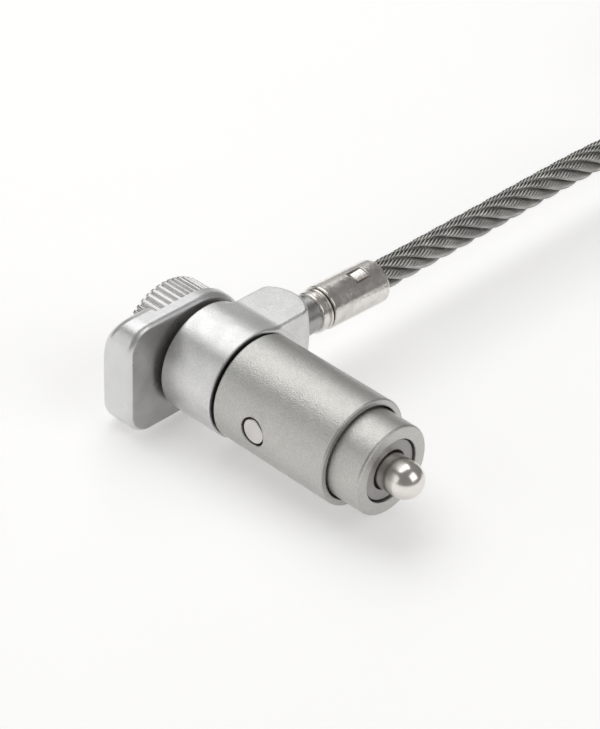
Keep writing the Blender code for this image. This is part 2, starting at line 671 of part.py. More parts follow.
def make_housing(axis, mats):
    housing = plate("knurled_housing", [rib_outline()], HOUSING_FRONT, HOUSING_REAR, axis,
                    mats["satin"])
    tools = [
        rod("plug_bore", (HOUSING_REAR - OVERCUT, 0, 0), 9 * OVERCUT, HOUSING_BORE_R, "X", axis,
            sides=BORE_SIDES, cutter=True),
        rod("clip_bore", (HOUSING_COUNTERBORE_END, 0, 0), 4 * OVERCUT, HOUSING_COUNTERBORE_R,
            "X", axis, sides=BORE_SIDES, cutter=True),
    ]
    for sign in (-1, 1):
        hole_at = (DOWEL_REAR - GAP, 0, sign * DOWEL_CIRCLE_R)
        tools.append(rod(f"housing_dowel_hole_{sign}", hole_at, 4 * OVERCUT, DOWEL_R + GAP, "X",
                         axis, sides=PIN_SIDES, cutter=True))
    for tool in tools:
        boolean(housing, tool)
    finish(housing, 30)
    for number, sign in enumerate((-1, 1), 1):
        rod(f"housing_dowel_{number}", (DOWEL_REAR, 0, sign * DOWEL_CIRCLE_R),
            DOWEL_FRONT - DOWEL_REAR, DOWEL_R, "X", axis, mats["steel"], sides=PIN_SIDES)


# ---------------------------------------------------------------- drive spindle
def helical_slot(name, start, axis):
    """A cutter for the follower's slot: a bar that turns a quarter turn as it moves back."""
    mesh = bpy.data.meshes.new(name)
    bm = bmesh.new()
    rings = []
    lead = STUD_TRAVEL / (math.pi / 2)
    extra = SLOT_HALF / SPINDLE_R
    for i in range(SLOT_STEPS + 1):
        turn = -extra + (math.pi / 2 + 2 * extra) * i / SLOT_STEPS
        middle = FOLLOWER_X - lead * turn
        ring = []
        for radius, side in ((SLOT_INNER_R, -1), (SLOT_OUTER_R, -1), (SLOT_OUTER_R, 1),
                             (SLOT_INNER_R, 1)):
            ring.append(bm.verts.new((middle + side * SLOT_HALF, radius * math.cos(start + turn),
                                      radius * math.sin(start + turn))))
        rings.append(ring)
    for first, second in zip(rings, rings[1:]):
        for k in range(4):
            bm.faces.new((first[k], first[(k + 1) % 4], second[(k + 1) % 4], second[k]))
    bm.faces.new(rings[0][::-1])
    bm.faces.new(rings[-1])
    bmesh.ops.recalc_face_normals(bm, faces=bm.faces)
    bm.to_mesh(mesh)
    bm.free()
    return add(name, mesh, axis, cutter=True)


def make_spindle(axis, mats):
    spindle = turned("drive_spindle", [
        (SPINDLE_FRONT, SPINDLE_BORE_R), (SPINDLE_FRONT, SPINDLE_R), (SPINDLE_REAR, SPINDLE_R),
        (SPINDLE_REAR, 0), (SPINDLE_BORE_END, 0), (SPINDLE_BORE_END, SPINDLE_BORE_R)], axis,
        mat=mats["steel"], steps=32)
    tenon = box("tenon", (TENON_REAR, -TENON_HALF, -TENON_HALF),
                (SPINDLE_REAR + TENON_OVERLAP, TENON_HALF, TENON_HALF), axis, cutter=True)
    boolean(spindle, tenon, "UNION")
    boolean(spindle, rod("tailpiece_bore", (TENON_REAR - OVERCUT, 0, 0), 4 * OVERCUT,
                         SPINDLE_TAIL_BORE_R, "X", axis, sides=16, cutter=True))
    for number, start in enumerate((0, math.pi)):
        boolean(spindle, helical_slot(f"cam_slot_{number}", start, axis))
    finish(spindle)


# ---------------------------------------------------------------- key plug
def make_plug(axis, mats):
    plug = turned("lock_plug", [
        (PLUG_FRONT, 0), (PLUG_FRONT, PLUG_R - PLUG_NECK_STEP),
        (PLUG_GROOVE_TO, PLUG_R - PLUG_NECK_STEP), (PLUG_GROOVE_TO, PLUG_GROOVE_R),
        (PLUG_GROOVE_FROM, PLUG_GROOVE_R), (PLUG_GROOVE_FROM, PLUG_R),
        (PLUG_REAR + EDGE, PLUG_R), (PLUG_REAR, PLUG_R - EDGE), (PLUG_REAR, 0)], axis,
        mat=mats["brass"], steps=24)
    boolean(plug, box("keyway", (PLUG_REAR - OVERCUT, -KEYWAY_HALF, -KEYWAY_HEIGHT),
                      (KEYWAY_END, KEYWAY_HALF, KEYWAY_HEIGHT), axis, cutter=True))
    boolean(plug, box("tailpiece_slot", (TAILPIECE_REAR - GAP / 2, -TAILPIECE_HALF_Y - GAP,
                                         -TAILPIECE_HALF_Z - GAP),
                      (PLUG_FRONT + OVERCUT, TAILPIECE_HALF_Y + GAP, TAILPIECE_HALF_Z + GAP), axis,
                      cutter=True))
    for number, x in enumerate(WAFER_XS, 1):
        boolean(plug, box(f"wafer_slot_{number}",
                          (x - WAFER_SLOT_HALF_X, -WAFER_SLOT_HALF_Y, -WAFER_SLOT_HALF_Z),
                          (x + WAFER_SLOT_HALF_X, WAFER_SLOT_HALF_Y, WAFER_SLOT_HALF_Z), axis,
                          cutter=True))
        boolean(plug, box(f"wafer_spring_room_{number}",
                          (x - WAFER_SLOT_HALF_X, WAFER_SLOT_HALF_Y - FINE_EDGE,
                           -WAFER_SPRING_ROOM_Z),
                          (x + WAFER_SLOT_HALF_X, WAFER_SPRING_Y + WAFER_SPRING_ROOM_Y,
                           WAFER_SPRING_ROOM_Z), axis, cutter=True))
    finish(plug, 30)
    for number, x in enumerate(WAFER_XS, 1):
        wafer = box(f"wafer_{number}", (x - WAFER_HALF_X, -WAFER_HALF_Y, -WAFER_HALF_Z),
                    (x + WAFER_HALF_X, WAFER_HALF_Y, WAFER_HALF_Z), axis, mats["brass"])
        boolean(wafer, box(f"wafer_window_{number}",
                           (x - OVERCUT, -WAFER_WINDOW_Y, -WAFER_WINDOW_Z),
                           (x + OVERCUT, WAFER_WINDOW_Y, WAFER_WINDOW_Z), axis, cutter=True))
        finish(wafer, 30)
        wire(f"wafer_spring_{number}", coil_points(-WAFER_SPRING_HALF, WAFER_SPRING_HALF,
                                                   WAFER_SPRING_R, 3, (x, WAFER_SPRING_Y), "Z", 6),
             WAFER_SPRING_WIRE_R, axis, mats["spring"], resolution=0)
    turned("plug_clip", tube_outline(PLUG_GROOVE_TO - FINE_EDGE, PLUG_GROOVE_FROM + FINE_EDGE,
                                     PLUG_CLIP_R, PLUG_GROOVE_R + GAP, FINE_EDGE), axis,
           mat=mats["spring"], steps=20)
    box("tailpiece", (TAILPIECE_REAR, -TAILPIECE_HALF_Y, -TAILPIECE_HALF_Z),
        (TAILPIECE_FRONT, TAILPIECE_HALF_Y, TAILPIECE_HALF_Z), axis, mats["steel"])


# ---------------------------------------------------------------- cable
def smooth_curve(points, per_span=16):
    """A dense Catmull-Rom curve through a few route points."""
    pts = [Vector(p) for p in points]
    first = pts[0] * 2 - pts[1]
    last = pts[-1] * 2 - pts[-2]
    pts = [first, *pts, last]
    dense = []
    for a, b, c, d in zip(pts, pts[1:], pts[2:], pts[3:]):
        for i in range(per_span):
            t = i / per_span
            dense.append(0.5 * (2 * b + (c - a) * t + (2 * a - 5 * b + 4 * c - d) * t ** 2
                                + (3 * b - 3 * c + d - a) * t ** 3))
    dense.append(pts[-2])
    return dense


def spaced(points, step):
    """Points along a dense curve, about one step apart."""
    total = sum((b - a).length for a, b in zip(points, points[1:]))
    count = max(2, round(total / step))
    wanted = [total * i / count for i in range(count + 1)]
    out, run, k = [], 0.0, 0
    for a, b in zip(points, points[1:]):
        length = (b - a).length
        while k <= count and wanted[k] <= run + length + 1e-9:
            out.append(a.lerp(b, (wanted[k] - run) / length if length else 0))
            k += 1
        run += length
    return out


def on_surface(points):
    """Route points given by height, in the barrel axis' frame."""
    return [Vector((x, y, height - AXIS_HEIGHT)) for x, y, height in points]


def make_cable(axis, mats):
    step = 5 * CABLE_R
    wire("cable_run", spaced(smooth_curve(on_surface(RUN_ROUTE)), step), CABLE_R, axis,
         mats["cable"], resolution=2)
    tail = spaced(smooth_curve(on_surface(TAIL_ROUTE)), step)
    wire("cable_tail", tail, CABLE_R, axis, mats["cable"], resolution=2)

    centre = Vector((STEM_X + COIL_INNER_TURN_R, COIL_Y, COIL_BASE - AXIS_HEIGHT))
    height = COIL_ROWS * COIL_PITCH
    inner = COIL_INNER_TURN_R - COIL_PITCH / 2
    outer = inner + COIL_COLUMNS * COIL_PITCH
    turned("cable_coil", [
        (height, inner + COIL_EDGE), (height, outer - COIL_EDGE), (height - COIL_EDGE, outer),
        (COIL_EDGE, outer), (0, outer - COIL_EDGE), (0, inner + COIL_EDGE), (COIL_EDGE, inner),
        (height - COIL_EDGE, inner)], axis, location=centre, rotation=(0, 0, 0),
        mat=mats["cable"], steps=40)

    low, high = -TIE_THICKNESS - GAP, height + TIE_THICKNESS + GAP
    sag = inner - math.sqrt(inner ** 2 - TIE_HALF_WIDTH ** 2)
    near = -outer - GAP - TIE_THICKNESS
    far = -inner + sag + GAP + TIE_THICKNESS
    loops = []
    for shrink in (0, TIE_THICKNESS):
        loops.append([(near + shrink, low + shrink), (far - shrink, low + shrink),
                      (far - shrink, high - shrink), (near + shrink, high - shrink)])
    plate("coil_tie", loops, TIE_HALF_WIDTH, -TIE_HALF_WIDTH, axis, mats["strap"],
          location=centre)

    start, before = tail[-1], tail[-2]
    heading = Vector((start.x - before.x, start.y - before.y, 0)).normalized()
    turn = math.atan2(heading.y, heading.x) - math.pi / 2
    eye_axis = empty("eye_axis", start + heading * GAP, axis)
    eye_axis.rotation_euler = (0, 0, turn)
    corner = EYE_FERRULE_HALF_HEIGHT
    reach = EYE_FERRULE_HALF_WIDTH - corner
    oval = (arc((reach, 0), corner, -90, 90, 8) + arc((-reach, 0), corner, 90, 270, 8))
    plate("eye_ferrule", [oval], EYE_FERRULE_LENGTH / 2, -EYE_FERRULE_LENGTH / 2, eye_axis,
          mats["nickel"], rotation=(math.pi / 2, 0, 0), location=(0, EYE_FERRULE_LENGTH / 2, 0))
    half_eye = [Vector((x, y + EYE_FERRULE_LENGTH, z - EYE_FERRULE_HALF_HEIGHT))
                for x, y, z in EYE_ROUTE]
    mirrored = [Vector((-p.x, p.y, p.z)) for p in half_eye[-2::-1]]
    wire("cable_eye", spaced(smooth_curve(half_eye + mirrored), step * 0.6), CABLE_R, eye_axis,
         mats["cable"], resolution=2)


# ---------------------------------------------------------------- build
def main():
    clear_scene()
    mats = make_materials()
    lock = empty("lock_axis", (-X_CENTRE, -Y_CENTRE, AXIS_HEIGHT))
    stem_offset = Vector((STEM_X, 0, STEM_Z))
    swivel = empty("swivel_axis", stem_offset, lock)
    button = empty("button_axis", (0, 0, 0), lock)
    make_barrel(lock, mats)
    make_stud(lock, mats)
    make_button(button, mats)
    make_collar(swivel, -stem_offset, mats)
    make_fitting(swivel, mats)
    make_lever(lock, mats)
    make_housing(lock, mats)
    make_spindle(lock, mats)
    make_plug(lock, mats)
    make_cable(lock, mats)


main()
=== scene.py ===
import math

import bmesh
import bpy
import numpy as np
from mathutils import Matrix, Vector


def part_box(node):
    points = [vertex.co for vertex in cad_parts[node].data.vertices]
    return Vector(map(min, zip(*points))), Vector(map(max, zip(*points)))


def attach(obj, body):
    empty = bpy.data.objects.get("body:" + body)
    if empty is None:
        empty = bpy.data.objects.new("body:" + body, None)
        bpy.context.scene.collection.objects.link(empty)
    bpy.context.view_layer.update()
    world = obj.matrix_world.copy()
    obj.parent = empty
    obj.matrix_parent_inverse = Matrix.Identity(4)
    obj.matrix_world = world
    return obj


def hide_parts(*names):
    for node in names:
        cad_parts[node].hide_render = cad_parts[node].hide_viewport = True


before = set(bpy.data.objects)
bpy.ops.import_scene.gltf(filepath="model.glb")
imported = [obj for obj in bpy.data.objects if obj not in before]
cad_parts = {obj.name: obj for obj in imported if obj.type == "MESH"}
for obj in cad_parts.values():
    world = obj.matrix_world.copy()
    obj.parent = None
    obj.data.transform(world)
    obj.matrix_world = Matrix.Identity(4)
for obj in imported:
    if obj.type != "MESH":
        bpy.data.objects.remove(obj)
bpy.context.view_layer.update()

# Visual model of the laptop cable lock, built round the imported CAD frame.  Shapes are worked out
# in millimetres in the barrel's own frame: X from the barrel's front face towards the ball stud,
# Y towards the cable, Z up.  They become the row frame's metres when an object is made.

MM = 0.001
TURN = 2 * math.pi

# ---------------------------------------------------------------- sizes, in millimetres
NOSE_FRONT = 6.3
NOSE_R = 8.0
BARREL_R = 9.5
BARREL_REAR = -24.3
BUTTON_X, BUTTON_Z = -15.4, 0.3
COLLAR_FRONT, COLLAR_REAR, COLLAR_R = -24.85, -36.3, 9.9
STEM_X, STEM_Z = -30.45, 2.34
LEVER_R = 10.6
CABLE_D = 5.5
GAP = 0.3                    # clearance between touching pieces

NOSE_LOW, NOSE_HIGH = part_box("nose_ring")
ORIGIN = np.array((NOSE_HIGH.x / MM - NOSE_FRONT, (NOSE_LOW.y + NOSE_HIGH.y) / 2 / MM,
                   (NOSE_LOW.z + NOSE_HIGH.z) / 2 / MM))
SURFACE_Z = -ORIGIN[2]


# ---------------------------------------------------------------- mesh helpers
def row_frame(points):
    """Points in the barrel's frame and millimetres, as row frame metres."""
    return (np.asarray(points, float) + ORIGIN) * MM


def piece(name, points, faces, material, normals=None):
    """A smooth mesh object, with its exact normals where they are known."""
    mesh = bpy.data.meshes.new(name)
    mesh.from_pydata(row_frame(points).tolist(), [], [list(map(int, f)) for f in faces])
    mesh.update()
    mesh.shade_smooth()
    if normals is not None:
        mesh.normals_split_custom_set_from_vertices(np.asarray(normals, float).tolist())
    mesh.materials.append(material)
    obj = bpy.data.objects.new(name, mesh)
    bpy.context.scene.collection.objects.link(obj)
    return obj


def fix_outward(obj):
    """Turn a closed mesh's faces so that they all look outwards."""
    work = bmesh.new()
    work.from_mesh(obj.data)
    bmesh.ops.recalc_face_normals(work, faces=work.faces)
    work.to_mesh(obj.data)
    work.free()
    obj.data.shade_smooth()


def stand_for(obj, body, slot, *nodes):
    """Let a piece ride on a body and stand for CAD nodes; the slot argument is not used."""
    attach(obj, body)
    if nodes:
        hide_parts(*nodes)
    return obj


def filleted(corners, segments=5):
    """A clockwise closed outline of (along, radius, fillet) corners, as points with normals."""
    points, normals = [], []
    count = len(corners)
    for i, (along, radius, fillet) in enumerate(corners):
        here = np.array((along, radius))
        before = np.array(corners[i - 1][:2]) - here
        after = np.array(corners[(i + 1) % count][:2]) - here
        before, after = before / np.linalg.norm(before), after / np.linalg.norm(after)
        out_before = np.array((before[1], -before[0]))
        out_after = np.array((-after[1], after[0]))
        if not fillet:
            points.append(here)
            normals.append(out_before if corners[i - 1][1] > 0 else out_after)
            continue
        half = math.acos(float(np.clip(before @ after, -1, 1))) / 2
        bisector = (before + after) / np.linalg.norm(before + after)
        centre = here + bisector * fillet / math.sin(half)
        start = here + before * fillet / math.tan(half) - centre
        end = here + after * fillet / math.tan(half) - centre
        side = -1 if out_before @ start < 0 else 1
        for k in range(segments + 1):
            blend = start * (1 - k / segments) + end * k / segments
            blend = blend / np.linalg.norm(blend)
            points.append(centre + blend * fillet)
            normals.append(side * blend)
    return np.array(points), np.array(normals)


def lathe(name, corners, material, steps=160, axis="X", centre=(0, 0, 0), segments=5):
    """Turn a clockwise filleted outline round an axis, closing it where it meets the axis."""
    outline, outward = filleted(corners, segments)
    count = len(outline)
    angle = TURN * np.arange(steps) / steps
    cos, sin = np.cos(angle)[:, None], np.sin(angle)[:, None]
    along = np.repeat(outline[None, :, 0], steps, 0)
    n_along = np.repeat(outward[None, :, 0], steps, 0)
    across = (outline[:, 1] * cos, outline[:, 1] * sin)
    n_across = (outward[:, 1] * cos, outward[:, 1] * sin)
    if axis == "X":
        points, normals = (along, *across), (n_along, *n_across)
    else:
        points, normals = (across[1], along, across[0]), (n_across[1], n_along, n_across[0])
    points = np.stack(points, -1).reshape(-1, 3) + np.array(centre)
    normals = np.stack(normals, -1).reshape(-1, 3)
    on_axis = outline[:, 1] < 1e-9
    label = np.arange(steps * count).reshape(steps, count)
    label[:, on_axis] = label[0, on_axis]
    used, label = np.unique(label, return_inverse=True)
    label = label.reshape(steps, count)
    points, normals = points[used], normals[used]
    ring_next, place_next = np.roll(label, -1, 0), np.roll(label, -1, 1)
    quads = np.stack((label, place_next, np.roll(ring_next, -1, 1), ring_next), -1)
    faces = [list(dict.fromkeys(q)) for q in quads.reshape(-1, 4).tolist()]
    faces = [f for f in faces if len(f) > 2]
    a, b, c = (points[i] for i in faces[0][:3])
    if np.cross(b - a, c - a) @ normals[faces[0][0]] < 0:
        faces = [f[::-1] for f in faces]
    return piece(name, points, faces, material, normals)


def surface_net(name, field, low, high, cell, material):
    """Mesh the zero surface of a distance field, with its gradient as the normals."""
    low, high = np.array(low, float), np.array(high, float)
    counts = np.ceil((high - low) / cell).astype(int) + 1
    axes = [low[i] + cell * np.arange(counts[i]) for i in range(3)]
    values = field(*np.meshgrid(*axes, indexing="ij"))
    inside = values < 0
    shape = counts - 1

    def corner(array, i, j, k):
        return array[i:i + shape[0], j:j + shape[1], k:k + shape[2]]

    steps = [(i, j, k) for i in (0, 1) for j in (0, 1) for k in (0, 1)]
    total = sum(corner(inside, *s).astype(int) for s in steps)
    mixed = (total > 0) & (total < 8)
    cells = np.argwhere(mixed)
    index = np.full(shape, -1)
    index[mixed] = np.arange(len(cells))
    crossing_sum, crossings = np.zeros((len(cells), 3)), np.zeros(len(cells))
    for a in steps:
        for axis in range(3):
            if a[axis]:
                continue
            b = tuple(v + (i == axis) for i, v in enumerate(a))
            va, vb = corner(values, *a)[mixed], corner(values, *b)[mixed]
            cut = (va < 0) != (vb < 0)
            t = np.where(cut, va / np.where(cut, va - vb, 1), 0)
            place = np.array(a, float)[None] + t[:, None] * np.eye(3)[axis]
            crossing_sum += place * cut[:, None]
            crossings += cut
    points = low + cell * (cells + crossing_sum / crossings[:, None])

    def gradient(p):
        tiny = 0.004
        rows = []
        for axis in range(3):
            step = np.eye(3)[axis] * tiny
            rows.append(field(*(p + step).T) - field(*(p - step).T))
        return np.stack(rows, -1) / (2 * tiny)

    for _ in range(4):
        slope = gradient(points)
        size = np.maximum((slope ** 2).sum(1), 0.2)
        move = np.clip(field(*points.T) / size, -cell / 2, cell / 2)
        points = points - move[:, None] * slope
    normals = gradient(points)
    normals /= np.maximum(np.linalg.norm(normals, axis=1), 1e-9)[:, None]

    faces = []
    for axis in range(3):
        u, v = (axis + 1) % 3, (axis + 2) % 3
        near = [slice(1, -1)] * 3
        far = [slice(1, -1)] * 3
        near[axis], far[axis] = slice(0, -1), slice(1, None)
        first, second = inside[tuple(near)], inside[tuple(far)]
        for outward, turned in ((first & ~second, False), (second & ~first, True)):
            at = np.argwhere(outward)
            at[:, u] += 1
            at[:, v] += 1
            ring = []
            for du, dv in ((-1, -1), (0, -1), (0, 0), (-1, 0)):
                place = at.copy()
                place[:, u] += du
                place[:, v] += dv
                ring.append(index[tuple(place.T)])
            quads = np.stack(ring, -1)
            faces.append(quads[:, ::-1] if turned else quads)
    return piece(name, points, np.concatenate(faces), material, normals)


def round_union(a, b, radius):
    """The part of space inside either, with the corner between them filled round."""
    return (np.maximum(radius, np.minimum(a, b))
            - np.hypot(np.maximum(radius - a, 0), np.maximum(radius - b, 0)))


def round_both(a, b, radius):
    """The part of space inside both, with the edge between them rounded."""
    return (np.minimum(-radius, np.maximum(a, b))
            + np.hypot(np.maximum(radius + a, 0), np.maximum(radius + b, 0)))


# ---------------------------------------------------------------- materials
class Shader:
    """A procedural material: object coordinates in millimetres feed noise, colour and bump."""

    def __init__(self, name):
        self.material = bpy.data.materials.new(name)
        self.material.use_nodes = True
        self.tree = self.material.node_tree
        self.shader = self.tree.nodes["Principled BSDF"]
        self.place = self.node("ShaderNodeTexCoord").outputs["Object"]
        self.normal = None

    def node(self, kind, **settings):
        made = self.tree.nodes.new(kind)
        for key, value in settings.items():
            setattr(made, key, value)
        return made

    def link(self, output, socket):
        self.tree.links.new(output, socket)

    def stretched(self, scale):
        mapping = self.node("ShaderNodeMapping")
        mapping.inputs["Scale"].default_value = [1 / MM * s for s in scale]
        self.link(self.place, mapping.inputs["Vector"])
        return mapping.outputs["Vector"]

    def noise(self, size, detail=3, scale=(1, 1, 1), roughness=0.5):
        made = self.node("ShaderNodeTexNoise")
        made.inputs["Scale"].default_value = 1 / size
        made.inputs["Detail"].default_value = detail
        made.inputs["Roughness"].default_value = roughness
        self.link(self.stretched(scale), made.inputs["Vector"])
        return made.outputs["Fac"]

    def ranged(self, value, low, high, from_low=0.3, from_high=0.7):
        made = self.node("ShaderNodeMapRange", clamp=True)
        for key, number in (("From Min", from_low), ("From Max", from_high),
                            ("To Min", low), ("To Max", high)):
            made.inputs[key].default_value = number
        self.link(value, made.inputs["Value"])
        return made.outputs["Result"]

    def times(self, first, second):
        made = self.node("ShaderNodeMath", operation="MULTIPLY")
        self.link(first, made.inputs[0])
        self.link(second, made.inputs[1])
        return made.outputs["Value"]

    def mix(self, factor, first, second):
        made = self.node("ShaderNodeMix", data_type="RGBA")
        self.link(factor, made.inputs["Factor"])
        for socket, colour in ((made.inputs[6], first), (made.inputs[7], second)):
            if isinstance(colour, tuple):
                socket.default_value = (*colour, 1)
            else:
                self.link(colour, socket)
        return made.outputs[2]

    def colour(self, output):
        self.link(output, self.shader.inputs["Base Color"])

    def roughness(self, output):
        self.link(output, self.shader.inputs["Roughness"])

    def bump(self, height, depth, strength=1.0):
        """Add a bump whose height, 0 to 1, stands for a depth in millimetres."""
        made = self.node("ShaderNodeBump")
        made.inputs["Distance"].default_value = depth * MM
        made.inputs["Strength"].default_value = strength
        self.link(height, made.inputs["Height"])
        if self.normal is not None:
            self.link(self.normal, made.inputs["Normal"])
        self.normal = made.outputs["Normal"]
        self.link(self.normal, self.shader.inputs["Normal"])

    def done(self, metallic=1.0, **sockets):
        self.shader.inputs["Metallic"].default_value = metallic
        for key, value in sockets.items():
            self.shader.inputs[key.replace("_", " ")].default_value = value
        return self.material


def grey(value, warmth=0.0, yellow=0.0):
    """A grey that leans to red by its warmth and away from blue by both."""
    return (value * (1 + warmth), value, value * (1 - warmth - yellow))


def metal(name, value, rough, grain=0.15, depth=0.004, blotch=0.06, warmth=0.01, spread=0.04,
          scale=(1, 1, 1), metallic=1.0, speckle=0.22, yellow=0.0):
    """Cast or turned metal: soft blotches, fine grain and uneven gloss."""
    made = Shader(name)
    cloud = made.ranged(made.noise(3.0, 4), 0, 1)
    speck = made.ranged(made.noise(grain * 1.2, 2, scale), 0, 1)
    low, high, dull = (grey(value * k, warmth, yellow) for k in (1 - blotch, 1 + blotch, 0.55))
    tone = made.mix(cloud, low, high)
    dark = made.mix(made.ranged(speck, 0, speckle, 0.0, 1.0), tone, dull)
    made.colour(dark)
    made.roughness(made.ranged(made.noise(1.6, 4), rough - spread, rough + spread))
    made.bump(made.noise(grain, 2, scale, 0.6), depth)
    made.bump(made.noise(4.5, 2), 0.012)
    return made.done(metallic)


def metal_with_painted_shade(name, value, rough, face_x, face_shade_value):
    """Blasted metal whose flat front face, past face_x, is painted darker: painted shade standing
    for the shadowed floor that face reflects.
    """
    made = Shader(name)
    cloud = made.ranged(made.noise(3.0, 4), 0, 1)
    blasted = made.mix(cloud, grey(value * 0.97), grey(value * 1.03))
    # painted shade: the darker colour of the flat front face
    painted_shade = made.mix(cloud, grey(face_shade_value * 0.90, 0.01), grey(face_shade_value * 1.10, 0.01))
    split = made.node("ShaderNodeSeparateXYZ")
    made.link(made.place, split.inputs["Vector"])
    edge = (face_x + ORIGIN[0]) * MM
    front = made.ranged(split.outputs["X"], 0, 1, edge - 0.02 * MM, edge + 0.02 * MM)
    made.colour(made.mix(front, blasted, painted_shade))
    made.roughness(made.ranged(made.noise(1.6, 4), rough - 0.04, rough + 0.04))
    made.bump(made.noise(0.24, 2, roughness=0.6), 0.030)
    made.bump(made.noise(4.5, 2), 0.012)
    return made.done(metallic=0.85)


def plastic(name, colour, rough):
    """Moulded plastic with faint unevenness."""
    made = Shader(name)
    tone = made.ranged(made.noise(2.0, 3), 0, 1)
    dull, bright = (tuple(c * k for c in colour) for k in (0.85, 1.12))
    made.colour(made.mix(tone, dull, bright))
    made.roughness(made.ranged(made.noise(0.9, 3), rough - 0.06, rough + 0.06))
    made.bump(made.noise(0.12, 2), 0.003)
    return made.done(metallic=0.0)


def woven(name, colour):
    """A flat woven tape: crossing ribs a third of a millimetre apart."""
    made = Shader(name)
    waves = []
    for direction in ("X", "Z"):
        wave = made.node("ShaderNodeTexWave", wave_type="BANDS", bands_direction=direction)
        wave.inputs["Scale"].default_value = 0.9
        wave.inputs["Distortion"].default_value = 0.4
        made.link(made.stretched((1, 1, 1)), wave.inputs["Vector"])
        waves.append(wave.outputs["Fac"])
    weave = made.times(*waves)
    made.colour(made.mix(weave, tuple(c * 0.5 for c in colour), colour))
    made.roughness(made.ranged(made.noise(0.5, 2), 0.75, 0.9))
    made.bump(weave, 0.15)
    return made.done(metallic=0.0, Sheen_Weight=0.3)


MATERIALS = {
    "satin_silver": metal("satin_silver", 0.75, 0.33, grain=0.24, depth=0.040, blotch=0.06,
                          warmth=0.004, spread=0.06, metallic=0.85, speckle=0.34),
    # The lever's metal, a little darker than the collar's, with painted shade on its flat front
    # face.
    "lever_metal_with_painted_shade": metal_with_painted_shade("lever_metal_with_painted_shade", 0.69, 0.31, -37.36, 0.44),
    "barrel_grey": metal("barrel_grey", 0.575, 0.33, grain=0.24, depth=0.075, blotch=0.03,
                         metallic=0.85, speckle=0.40, yellow=0.035),
    "polished_nickel": metal("polished_nickel", 0.80, 0.22, depth=0.0006, warmth=0.045,
                             spread=0.03),
    "ferrule_nickel": metal("ferrule_nickel", 0.74, 0.20, grain=0.4, depth=0.030, warmth=0.045,
                            blotch=0.14, spread=0.08),
    "button_metal": metal("button_metal", 0.66, 0.34, depth=0.004, warmth=0.03),
    "plain_steel": metal("plain_steel", 0.42, 0.28, scale=(0.1, 1, 1)),
    "spring_steel": metal("spring_steel", 0.30, 0.22, depth=0.001),
    "dark_oxide": metal("dark_oxide", 0.36, 0.42, depth=0.006, warmth=0.03, metallic=0.6),
    "brass": metal("brass", 0.45, 0.25, warmth=0.35),
    "cable_strand": metal("cable_strand", 0.44, 0.17, grain=0.1, depth=0.002, blotch=0.22,
                          yellow=0.04),
    "black_nylon": plastic("black_nylon", (0.02, 0.02, 0.022), 0.5),
    "tie_strap": woven("tie_strap", (0.03, 0.03, 0.034)),
    "knurl_metal": metal("knurl_metal", 0.58, 0.26, grain=0.2, depth=0.010, blotch=0.10,
                         warmth=0.01, spread=0.06),
    "crimp_metal": metal("crimp_metal", 0.62, 0.30, grain=0.3, depth=0.010, blotch=0.08),
}

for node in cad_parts.values():
    slot = node.data.materials[0].name.split(".")[0] if node.data.materials else ""
    if slot in MATERIALS:
        node.data.materials[0] = MATERIALS[slot]


# ---------------------------------------------------------------- camera
LENS = 118.52                # millimetres
CAMERA_AT = (0.213717, -0.236202, 0.244223)
CAMERA_AXES = Matrix(((0.7124, -0.4326, 0.5525), (0.7008, 0.3974, -0.5924),
                      (0.0367, 0.8093, 0.5863)))
camera_data = bpy.data.cameras.new("camera")
camera_data.sensor_fit = "VERTICAL"
camera_data.sensor_height = 36
camera_data.lens = LENS
camera_data.clip_start = 0.01
camera = bpy.data.objects.new("camera", camera_data)
bpy.context.scene.collection.objects.link(camera)
camera.matrix_world = (Matrix.Translation(CAMERA_AT)
                       @ CAMERA_AXES.to_quaternion().to_matrix().to_4x4())
bpy.context.scene.camera = camera


# ---------------------------------------------------------------- the cable
COIL_Y = 172.5
INNER_R, OUTER_R, PITCH = 24.6, 30.2, 5.6
INNER_TURNS, ALL_TURNS = 4.5, 8
COIL_X = STEM_X + INNER_R
COIL_STEP = math.radians(3)
CROSS_ANGLE = math.radians(70)      # turn in which the cable crosses to the outer layer
LEAVE_ANGLE = math.radians(150)     # turn past the last full one, where the tail starts
RUN_ROUTE = [(STEM_X, 23.3, 12.70), (STEM_X, 60, 12.80), (STEM_X, 92, 12.85),
             (STEM_X, 111, 11.30), (STEM_X, 130, 6.50), (STEM_X, 147, 3.72)]
TAIL_ROUTE = [(25.55, 190.65, 4.4), (30.55, 176.5, 3.8), (30.95, 162.5, 3.6),
              (29.4, 149.5, 3.6), (26.6, 137.5, 3.6)]
EYE_ROUTE = [(2.8, 0.3, 3.6), (3.6, 8, 3.6), (8, 18, 3.4), (13.5, 28, 3.0), (14.8, 38.5, 2.8),
             (9.5, 48, 2.8), (0, 51.5, 2.8)]
EYE_FERRULE_LENGTH = 16.0
EYE_SLEEVE_R, EYE_SLEEVE_HALF_WIDTH, EYE_SLEEVE_Z = 3.3, 2.75, 3.55
PRESSED_AT, PRESS_DEPTH = (3.6, 8.3, 13.0), 0.42
STRAP_WIDTH, STRAP_THICKNESS, STRAP_SLACK = 12.0, 0.7, 0.12
CORE_R = 1.05
STRAND_LAY = 28.8
LAY_PHASE, LAY_PHASE_Y = math.radians(60), 46.9     # how far a strand has turned, and where
STRAND_CIRCLE_R = 1.84
WIRE_CIRCLE_R = 0.70
WIRE_R = 0.20
WIRE_TURN = -0.85            # radians for each millimetre, against the strands' own turn
STRAND_LEAN = 0.44           # half a strand's width, as an angle round the rope
STRANDS, WIRES = 6, 12


